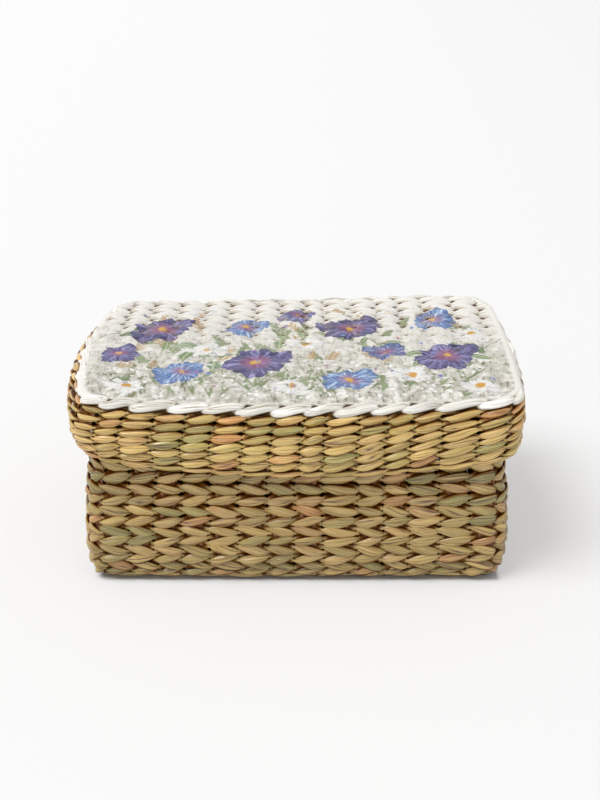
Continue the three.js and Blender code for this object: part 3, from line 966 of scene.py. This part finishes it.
def twined_relief(x, y, low, high, seed):
    """Height of a twined surface over its middle: at each point the highest of the strands' elliptic
    backs, the two strands of the nearest three rows."""
    rng = np.random.default_rng(seed)
    twine = sheet_twine
    rows = round((high[1] - low[1]) / mat_pitch)
    pitch = (high[1] - low[1]) / rows
    numbers, places = mat_columns(lid_shell, high[2])
    stitch = np.interp(x, places, numbers)
    row = np.floor((y - low[1]) / pitch)
    known = (rows + 2 * spare_rows, 2, side_stitches[0] + 2 * spare_columns)
    uneven = rng.uniform(-1, 1, (len(sheet_unevenness), *known))
    spreads = sheet_unevenness.values()
    height = np.full(x.shape, lowest_relief)
    for near in (-1, 0, 1):
        number = row + near
        side = np.where(np.mod(number, 2) < 1, 1.0, -1.0)
        centre = low[1] + (number + 0.5) * pitch
        for phase in (0, 1):
            column = (np.floor(stitch) + spare_columns).astype(int)
            index = ((number + spare_rows).astype(int).clip(0, known[0] - 1), phase, column)
            wide, lifted, steep, aside = (spread * uneven[i][index] for i, spread in enumerate(spreads))
            wave = np.sin(math.pi * (stitch + phase))
            fullness = np.abs(wave) ** twine["taper"]
            pinched = twine["pinch"] + (1 - twine["pinch"]) * fullness
            half_width = twine["half_width_share"] * pitch * (1 + wide * fullness) * pinched
            slant = -side * twine["slant"] * (1 + steep * fullness)
            middle = centre + slant * np.cos(math.pi * (stitch + phase)) + aside * fullness
            swing = twine["swing"] * np.sign(wave) * np.abs(wave) ** twine["snap"]
            share = np.clip(1 - ((y - middle) / half_width) ** 2, 0, 1)
            thick = twine["half_thick"] * (twine["thin_share"] + (1 - twine["thin_share"]) * fullness)
            back = swing + lifted * fullness + thick * np.sqrt(share)
            height = np.where(share > 0, np.maximum(height, back), height)
    return height


# The print, in millimetres from the sheet's middle. Each layer of it is a field of distances to the edge
# of its shapes, negative inside, with fields for what varies within a shape. A spray is a stem with leaves
# on both sides by turns, shorter towards its tip. They are ferns, twigs and grass blades: how many, the rows
# they grow in, their leaves, the leaves' length share, half width and angle, and the tones. Specks are white
# dots and dark seeds: how many, how deep a band they lie in, how they gather at its front, and their radii.
# A blossom is given by its middle, its radius and, where it is coloured, its hue.
print_half_width, print_front = 134, -92
far_off = 30.0
wobbles = (((1.4, 26, 1), (0.7, 8, 4)), ((1.4, 24, 2), (0.7, 9, 5)))
vine_reach, vine_length, vine_start, vine_half_width = 30, 148, 0.5, 0.7
vine_ends, vine_tone = (-132, 136), 0.3
leaf_spacing, leaf_angle, leaf_sway = 9.0, 0.9, 0.2
leaf_lengths, leaf_half_widths, leaf_powers = (15, 24), (2.6, 4.2), (0.8, 0.9)
spray_headings, spray_lengths, stem_half_width, stem_bend, spray_sway = (1.0, 2.1), (14, 30), 0.7, 0.1, 0.15
spray_kinds = (
    (30, (-50, 64), 16, 0.32, 1.1, 0.85, (0.5, 1.0)),
    (26, (-50, 64), 9, 0.46, 0.9, 0.7, (0.0, 0.2)),
    (70, (-94, -60), 2, 0.7, 1.2, 0.3, (0.35, 1.0)),
)
spray_leaf_ends, spray_foot_share, spray_taper_share = (0.12, 0.95), 1.1, 0.75
berry_count, berry_radii, berry_reaches = 50, (0.8, 1.9), ((-132, -88), (132, 74))
speck_kinds = {"dot": (240, 66, 1.5, (0.8, 1.7)), "seed": (260, 90, 1.3, (0.4, 0.8))}
blossom_petals, pale_petals = 6, 9
petal_size_shares, petal_size_pace = (1.9, 0.1, 0.1), 2.4
petal_reach_shares, petal_reach_pace = (0.92, 0.22), 1.7
petal_wave_share, petal_wave_paces = 0.035, (7, 17)
blossoms = (
    (-101, 34, 25, 0.05),
    (-31, -30, 26, 0.0),
    (38, 36, 24, 0.1),
    (106, -18, 26, 0.0),
    (-82, -48, 20, 0.85),
    (-40, 38, 17, 0.95),
    (34, -62, 20, 0.8),
    (101, 52, 19, 0.9),
    (62, -10, 16, 0.45),
    (-2, 64, 15, 0.3),
    (-128, -14, 16, 0.2),
)
pale_blossoms = (
    (-66, -8, 14),
    (4, 6, 14),
    (76, -52, 15),
    (128, 24, 14),
    (68, 66, 12),
    (-6, -74, 14),
    (-118, -72, 14),
    (122, -72, 13),
    (-74, 70, 11),
)


def new_layer(shape, *fields):
    """A layer of the print with its edge far away and its fields empty."""
    return {"edge": np.full(shape, far_off)} | {field: np.zeros(shape) for field in fields}


def lay(layer, edge, **fields):
    """Lays a shape over what a layer holds: inside the shape its fields count."""
    over = edge < np.minimum(layer["edge"], 1.0)
    for name, value in fields.items():
        layer[name] = np.where(over | (edge < 0), value, layer[name])
    layer["edge"] = np.minimum(layer["edge"], edge)


def leaf_edge(x, y, foot, heading, length, half_width, bend=0.0):
    """Distance to the edge of a leaf, and how far aside of its rib a point lies as a share of its half
    width. Its width follows a sine from foot to tip, with its widest place a little nearer the foot, and
    its rib bends as the square of the way along."""
    ahead = (x - foot[0]) * math.cos(heading) + (y - foot[1]) * math.sin(heading)
    aside = (y - foot[1]) * math.cos(heading) - (x - foot[0]) * math.sin(heading)
    share = np.clip(ahead / length, 0, 1)
    aside = aside - bend * length * share**2
    half = half_width * np.sin(math.pi * share ** leaf_powers[0]) ** leaf_powers[1]
    beyond = np.maximum(np.maximum(-ahead, ahead - length), 0)
    beside = np.abs(aside) - half
    return np.hypot(np.maximum(beside, 0), beyond) + np.minimum(beside, 0), aside / half_width


def blossom(x, y, middle, radius, turn, petals):
    """A round blossom. For each point: the distance to the nearest petal's edge, how deep it lies in that
    petal, its distance from the heart as a share, and its direction from the heart. Petals are discs with
    wavy edges round the heart, each laid over the one before, and vary as a sine of their number."""
    crowded, least, uneven = petal_size_shares
    usual, shifted = petal_reach_shares
    away_x, away_y = x - middle[0], y - middle[1]
    around = np.arctan2(away_y, away_x)
    edge, depth = np.full(x.shape, far_off), np.zeros(x.shape)
    for petal in range(petals):
        heading = turn + 2 * math.pi * petal / petals
        size = radius * (crowded / petals + least + uneven * math.sin(petal_size_pace * petal + turn))
        reach = radius * (usual + shifted * math.sin(petal_reach_pace * petal + 3 * turn)) - size
        off = np.hypot(away_x - reach * math.cos(heading), away_y - reach * math.sin(heading)) - size
        slow, fast = (pace * around for pace in petal_wave_paces)
        off = off + petal_wave_share * radius * (np.sin(slow + 2 * petal) + np.sin(fast + petal))
        depth = np.where(off < 0, -off / size, depth)
        edge = np.minimum(edge, off)
    away = np.hypot(away_x, away_y)
    return edge, {
        "depth": depth,
        "reach": away / radius,
        "ray_x": away_x / np.maximum(away, 1.0),
        "ray_y": away_y / np.maximum(away, 1.0),
    }


def drawn_print(x, y):
    """All layers of the print: sprays, the vine with its leaves, berries, specks, then pale and coloured
    blossoms. Smooth noise shifts every place a little, so that nothing is drawn with a compass."""
    rng = np.random.default_rng(31)
    x = x + sum(reach * noise_waves(x, y, size, seed) for reach, size, seed in wobbles[0])
    y = y + sum(reach * noise_waves(x, y, size, seed) for reach, size, seed in wobbles[1])
    sprig = new_layer(x.shape, "tone")
    foliage = new_layer(x.shape, "tone", "aside")
    specks = {name: new_layer(x.shape) for name in speck_kinds}
    berry = new_layer(x.shape, "tone")
    pale = new_layer(x.shape, "depth", "reach", "ray_x", "ray_y")
    petal = new_layer(x.shape, "hue", "depth", "reach", "ray_x", "ray_y")
    for many, rows, leaves, length_share, half_width, angle, tones in spray_kinds:
        for _ in range(many):
            foot = np.array([rng.uniform(-print_half_width, print_half_width), rng.uniform(*rows)])
            heading, length = rng.uniform(*spray_headings), rng.uniform(*spray_lengths)
            tone = rng.uniform(*tones)
            ahead = np.array([math.cos(heading), math.sin(heading)])
            bend = rng.uniform(-stem_bend, stem_bend)
            lay(sprig, leaf_edge(x, y, foot, heading, length, stem_half_width, bend)[0], tone=tone)
            for i, share in enumerate(np.linspace(*spray_leaf_ends, leaves)):
                turned = heading + (1 if i % 2 else -1) * angle + rng.uniform(-spray_sway, spray_sway)
                reach = length * length_share * (spray_foot_share - spray_taper_share * share)
                edge, _ = leaf_edge(x, y, foot + share * length * ahead, turned, reach, half_width)
                lay(sprig, edge, tone=tone)
    pace = 2 * math.pi / vine_length
    slope = vine_reach * pace * np.cos(pace * x + vine_start)
    off_vine = np.abs(y - vine_reach * np.sin(pace * x + vine_start)) / np.sqrt(1 + slope**2)
    lay(foliage, off_vine - vine_half_width, tone=vine_tone, aside=1.0)
    for i, place in enumerate(np.arange(*vine_ends, leaf_spacing)):
        foot = (place, vine_reach * math.sin(pace * place + vine_start))
        heading = math.atan(vine_reach * pace * math.cos(pace * place + vine_start))
        heading += (leaf_angle if i % 2 else -leaf_angle) + rng.uniform(-leaf_sway, leaf_sway)
        size = rng.uniform(*leaf_lengths), rng.uniform(*leaf_half_widths)
        edge, aside = leaf_edge(x, y, foot, heading, *size, rng.uniform(-leaf_sway, leaf_sway))
        lay(foliage, edge, tone=rng.uniform(0, 1), aside=aside)
    for place_x, place_y in rng.uniform(*berry_reaches, (berry_count, 2)):
        edge = np.hypot(x - place_x, y - place_y) - rng.uniform(*berry_radii)
        lay(berry, edge, tone=rng.uniform(0, 1))
    for name, (many, band, gathered, radii) in speck_kinds.items():
        across = rng.uniform(-print_half_width, print_half_width, many)
        for place_x, share in zip(across, rng.uniform(0, 1, many)):
            off = np.hypot(x - place_x, y - print_front - band * share**gathered)
            lay(specks[name], off - rng.uniform(*radii))
    for *middle, radius in pale_blossoms:
        edge, fields = blossom(x, y, middle, radius, rng.uniform(0, 2), pale_petals)
        lay(pale, edge, **fields)
    for *middle, radius, hue in blossoms:
        edge, fields = blossom(x, y, middle, radius, rng.uniform(0, 2), blossom_petals)
        lay(petal, edge, hue=hue, **fields)
    return specks | {"sprig": sprig, "foliage": foliage, "berry": berry, "pale": pale, "petal": petal}


low, high = (np.array(corner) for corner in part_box("lid_print_sheet"))
left_edge, right_edge = low[0] - left_reach, high[0] + right_reach
middle_x, half_x = (left_edge + right_edge) / 2, (right_edge - left_edge) / 2
u, v = np.meshgrid(np.linspace(-1, 1, sheet_columns), np.linspace(-1, 1, sheet_rows), indexing="ij")
front_edge = low[1] - front_reach + lid_bows[0] * u**2
back_edge = high[1] + back_reach - lid_bows[0] * u**2
sheet_y = front_edge + (v + 1) / 2 * (back_edge - front_edge)
from_ends = np.minimum(sheet_y - front_edge, back_edge - sheet_y)
corner_depth = sheet_corner - np.clip(from_ends, 0, sheet_corner)
rounded_away = sheet_corner - np.sqrt(sheet_corner**2 - corner_depth**2)
sheet_x = middle_x + u * (half_x - lid_bows[1] * v**2 - rounded_away)
from_sides = (1 - np.abs(u)) * half_x
from_edge = np.minimum(from_ends, from_sides)

mat_low, mat_high = (np.array(corner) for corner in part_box("lid_top_mat"))
relief = twined_relief(sheet_x, sheet_y, mat_low, mat_high, seed=260)
band = np.clip((band_width - from_sides) / band_edge, 0, 1)
back_wobble = sunk_wobble * noise_waves(sheet_x, sheet_y, wobble_size, seed=3)
back_share = np.clip((v - sunk_from) / sunk_over + back_wobble, 0, 1)
bridged = blurred(relief, bridge_cells) + bridge_rise
smooth_share = np.maximum(smooth_front_share * (1 - back_share), band)
roll_share = np.clip(1 - from_edge / edge_roll, 0, 1)
sheet_z = sheet_height + relief + (bridged - relief) * smooth_share
sheet_z = sheet_z - edge_drop * (1 - np.sqrt(1 - roll_share**2))
top_points = lid_settle(np.stack([sheet_x, sheet_y, sheet_z], -1))
# How far the relief lies below its blurred self: the splits and the grooves take their painted shade by it.
gap = blurred(relief, gap_cells) - relief
groove = blurred(relief, groove_cells) - relief
open_share = (least_open_share + (1 - least_open_share) * back_share) * (1 - band)
shades_below = {
    "sunk": np.clip((gap - split_from) / split_over, 0, 1) * open_share,
    "groove": np.clip(groove / groove_over, 0, 1) * open_share,
    "front": 1 - (v + 1) / 2,
    "ink": (1 - band) * np.clip((back_edge - sheet_y - bare_back) / ink_fade, 0, 1),
}


def sheet_mesh(name, top, fields):
    """A closed sheet: the grid of its top, a skirt down from its edge, and a fan of triangles below."""
    columns, rows = top.shape[:2]
    number = np.arange(columns * rows).reshape(columns, rows)
    faces = np.stack([number[:-1, :-1], number[1:, :-1], number[1:, 1:], number[:-1, 1:]], -1)
    rim = np.concatenate([number[:-1, 0], number[-1, :-1], number[:0:-1, -1], number[0, :0:-1]])
    skirt = top.reshape(-1, 3)[rim] - [0, 0, sheet_skirt]
    foot = np.arange(len(rim)) + columns * rows
    walls = np.stack([rim, foot, np.roll(foot, -1), np.roll(rim, -1)], -1)
    centre = columns * rows + len(rim)
    fan = [(int(a), centre, int(b)) for a, b in zip(foot, np.roll(foot, -1))]
    points = np.concatenate([top.reshape(-1, 3), skirt, skirt.mean(0)[None]])
    mesh = bpy.data.meshes.new(name)
    mesh.from_pydata(points.tolist(), [], faces.reshape(-1, 4).tolist() + walls.tolist() + fan)
    mesh.shade_smooth()
    for label, field in fields.items():
        values = np.concatenate([field.ravel(), field.ravel()[rim], [0.0]])
        mesh.attributes.new(label, "FLOAT", "POINT").data.foreach_set("value", values.astype(np.float32))
    piece = bpy.data.objects.new(name, mesh)
    scene.collection.objects.link(piece)
    return piece


layers = drawn_print((sheet_x - middle_x) / mm, sheet_y / mm)
print_fields = {
    layer_name + "_" + field: values
    for layer_name, layer in layers.items()
    for field, values in layer.items()
}
sheet_fields = shades_below | print_fields
sheet = sheet_mesh("lid_print_sheet_paper", top_points, sheet_fields)

# Its paper: a thin soft sheet with a matt varnish, creased finely, its ink like watercolour, with ragged
# edges and streaks that run out from each blossom's heart. A warm grey wash lies over the front. Wrinkles
# and grain have a size, a detail and a relief.
ink_blur, ink_cover = 0.4, 0.92
ragged_reach = 3.5
ragged_shares = {"sprig": 0.3, "foliage": 0.5, "seed": 0.3}
blot_size, ragged_size, speck_size, blot_detail = 6 * mm, 2.2 * mm, 1.3 * mm, 3.0
paper_roughness = 0.5
wrinkles, grain = (9 * mm, 4.0, 0.5 * mm), (1.1 * mm, 2.0, 0.12 * mm)
# The grooves' colour is painted shadow; the splits' is the bare reed darkened as painted shade.
paper_shade, painted_groove_shadow, bare_reed_and_pit_shade = "#eeebe4", "#9a8768", "#4c2c0e"
groove_range, split_range = (0.3, 1.0, 0.0, 0.6), (0.3, 0.7, 0.0, 1.0)
wash_shade, wash_range, blot_range = "#bab6a9", (0.14, 0.8), (0.3, 0.6)
stroke_shade, stroke_range = "#79745f", (0.52, 0.68)
stroke_scale = (1 / (2.2 * mm), 1 / (8 * mm), 1.0)
sprig_shades = {0.0: "#ab8c5e", 0.25: "#c0a26f", 0.4: "#55643a", 0.65: "#6f8052", 1.0: "#8c9b72"}
leaf_shades = {0.0: "#4c6644", 0.3: "#6f8757", 0.6: "#91a374", 0.8: "#6f8974", 1.0: "#9aa783"}
leaf_unevenness, rib_shade, rib_share = 0.8, "#c3cda4", 0.25
seed_shade, dot_shade = "#3d3c33", "#f5f4f0"
berry_shades = {0.0: "#5a4c98", 0.5: "#7d9bd6", 1.0: "#b25f7e"}
streak_turns, streak_reach, streak_apart, streak_detail = 7.0, 1.5, 20.0, 5.0
streak_range, rim_range = (0.3, 0.7, 0.0, 0.75), (0.0, 0.3, 0.0, 0.25)
hue_unevenness, blue_range = 0.8, (0.6, 1.2)
blush_shade, blush_streak, blush_range = "#a9506c", 0.5, (0.4, 0.75, 0.6, 0.0)
petal_places = (0.0, 0.25, 0.42, 0.5, 0.65, 0.9)
blossom_inks = {
    "pale": {
        "heart": "#cf9420",
        "heart_range": (0.2, 0.3, 1.0, 0.0),
        "ramps": [{0.0: "#7f8299", 0.25: "#c4c4cb", 0.5: "#e4e2dd", 0.8: "#f4f3f0"}],
    },
    "petal": {
        "heart": "#d9a93e",
        "heart_range": (0.08, 0.15, 1.0, 0.0),
        "ramps": [
            dict(zip(petal_places, ("#120e2a", "#262150", "#4c4384", "#241e4e", "#574e8e", "#9d96c4"))),
            dict(zip(petal_places, ("#162349", "#2c467f", "#6788c0", "#335391", "#7696c9", "#cbdbec"))),
        ],
    },
}


def paper_material(names):
    """The print's layers over the paper, each shown where its edge field is negative, then the grooves'
    painted shadow and the splits over the reed, dark with painted shade. In a blossom, noise on the
    direction from its heart gives the streaks."""
    material, tree = new_material("printed_tissue_matt_varnish")
    place = add_node(tree, "TexCoord").outputs["Object"]
    field = {name: add_node(tree, "Attribute", attribute_name=name).outputs["Fac"] for name in names}
    blots, ragged, specks = (
        add_node(tree, "TexNoise", {"Vector": place, "Scale": 1 / size, "Detail": blot_detail})
        for size in (blot_size, ragged_size, speck_size)
    )
    washed = add_node(tree, "MapRange", (field["front"], *wash_range))
    blotted = add_node(tree, "MapRange", (blots, *blot_range))
    washed = add_node(tree, "Math", (washed, blotted), operation="MULTIPLY")
    washed = add_node(tree, "Math", (washed, field["ink"]), operation="MULTIPLY")
    strokes = add_node(tree, "Mapping", {"Vector": place, "Scale": stroke_scale})
    strokes = add_node(tree, "TexNoise", {"Vector": strokes, "Scale": 1.0, "Detail": blot_detail})
    strokes = add_node(tree, "MapRange", (strokes, *stroke_range))
    strokes = add_node(tree, "Math", (strokes, washed), operation="MULTIPLY")
    colour = linear(paper_shade)
    for share, shade in ((washed, wash_shade), (strokes, stroke_shade)):
        colour = add_node(tree, "Mix", {0: share, 6: colour, 7: linear(shade)}, data_type="RGBA")
    leaf = (specks, leaf_unevenness, field["foliage_tone"])
    leaf = add_node(tree, "Math", leaf, operation="MULTIPLY_ADD")
    leaf = add_node(tree, "Math", (leaf, leaf_unevenness / 2), operation="SUBTRACT")
    leaf = add_node(tree, "ValToRGB", {"Fac": leaf}, leaf_shades)
    aside = add_node(tree, "Math", (field["foliage_aside"],), operation="ABSOLUTE")
    off_rib = add_node(tree, "MapRange", (aside, 0.0, rib_share))
    inks = {
        "sprig": add_node(tree, "ValToRGB", {"Fac": field["sprig_tone"]}, sprig_shades),
        "foliage": add_node(tree, "Mix", {0: off_rib, 6: linear(rib_shade), 7: leaf}, data_type="RGBA"),
        "seed": linear(seed_shade),
        "dot": linear(dot_shade),
    }
    for layer, look in blossom_inks.items():
        ray = {"X": field[layer + "_ray_x"], "Y": field[layer + "_ray_y"], "Z": field[layer + "_reach"]}
        ray = add_node(tree, "CombineXYZ", ray)
        drawn_out = (ray, (streak_turns, streak_turns, streak_reach))
        drawn_out = add_node(tree, "VectorMath", drawn_out, operation="MULTIPLY")
        apart = (place, (streak_apart, streak_apart, 0.0))
        apart = add_node(tree, "VectorMath", apart, operation="MULTIPLY")
        placed = add_node(tree, "VectorMath", (drawn_out, apart), operation="ADD")
        streak = add_node(tree, "TexNoise", {"Vector": placed, "Scale": 1.0, "Detail": streak_detail})
        strong = add_node(tree, "MapRange", (streak, *streak_range))
        off_rim = add_node(tree, "MapRange", (field[layer + "_depth"], *rim_range))
        shade = add_node(tree, "Math", (strong, off_rim), operation="ADD")
        ink, *bluer = (add_node(tree, "ValToRGB", {"Fac": shade}, ramp) for ramp in look["ramps"])
        if bluer:
            hue = (blots, hue_unevenness, field["petal_hue"])
            hue = add_node(tree, "Math", hue, operation="MULTIPLY_ADD")
            hue = add_node(tree, "MapRange", (hue, *blue_range))
            blush = (streak, blush_streak, field["petal_reach"])
            blush = add_node(tree, "Math", blush, operation="MULTIPLY_ADD")
            blush = add_node(tree, "MapRange", (blush, *blush_range))
            for share, over in ((hue, bluer[0]), (blush, linear(blush_shade))):
                ink = add_node(tree, "Mix", {0: share, 6: ink, 7: over}, data_type="RGBA")
        heart = add_node(tree, "MapRange", (field[layer + "_reach"], *look["heart_range"]))
        inks[layer] = add_node(tree, "Mix", {0: heart, 6: ink, 7: linear(look["heart"])}, data_type="RGBA")
    inks["berry"] = add_node(tree, "ValToRGB", {"Fac": field["berry_tone"]}, berry_shades)
    for layer, ink in inks.items():
        reach = ragged_reach * ragged_shares.get(layer, 1)
        torn = (ragged, reach, field[layer + "_edge"])
        torn = add_node(tree, "Math", torn, operation="MULTIPLY_ADD")
        inside = (torn, reach / 2 - ink_blur, reach / 2 + ink_blur, ink_cover, 0.0)
        inside = add_node(tree, "MapRange", inside)
        inside = add_node(tree, "Math", (inside, field["ink"]), operation="MULTIPLY")
        colour = add_node(tree, "Mix", {0: inside, 6: colour, 7: ink}, data_type="RGBA")
    # Painted shadow in the grooves, and the bare reed in the splits, darkened as painted shade.
    for label, shade, limits in (
        ("groove", painted_groove_shadow, groove_range),
        ("sunk", bare_reed_and_pit_shade, split_range),
    ):
        share = add_node(tree, "MapRange", (field[label], *limits))
        colour = add_node(tree, "Mix", {0: share, 6: colour, 7: linear(shade)}, data_type="RGBA")
    skin = {}
    for size, detail, relief in (wrinkles, grain):
        noise = add_node(tree, "TexNoise", {"Vector": place, "Scale": 1 / size, "Detail": detail})
        bump = {"Height": noise, "Strength": 1.0, "Distance": relief}
        skin = {"Normal": add_node(tree, "Bump", bump | skin)}
    surface = {"Base Color": colour, "Roughness": paper_roughness} | skin
    add_node(tree, "OutputMaterial", {"Surface": add_node(tree, "BsdfPrincipled", surface)})
    return material


dress(sheet, "lid", "printed_paper", paper_material(sheet_fields), "lid_print_sheet")
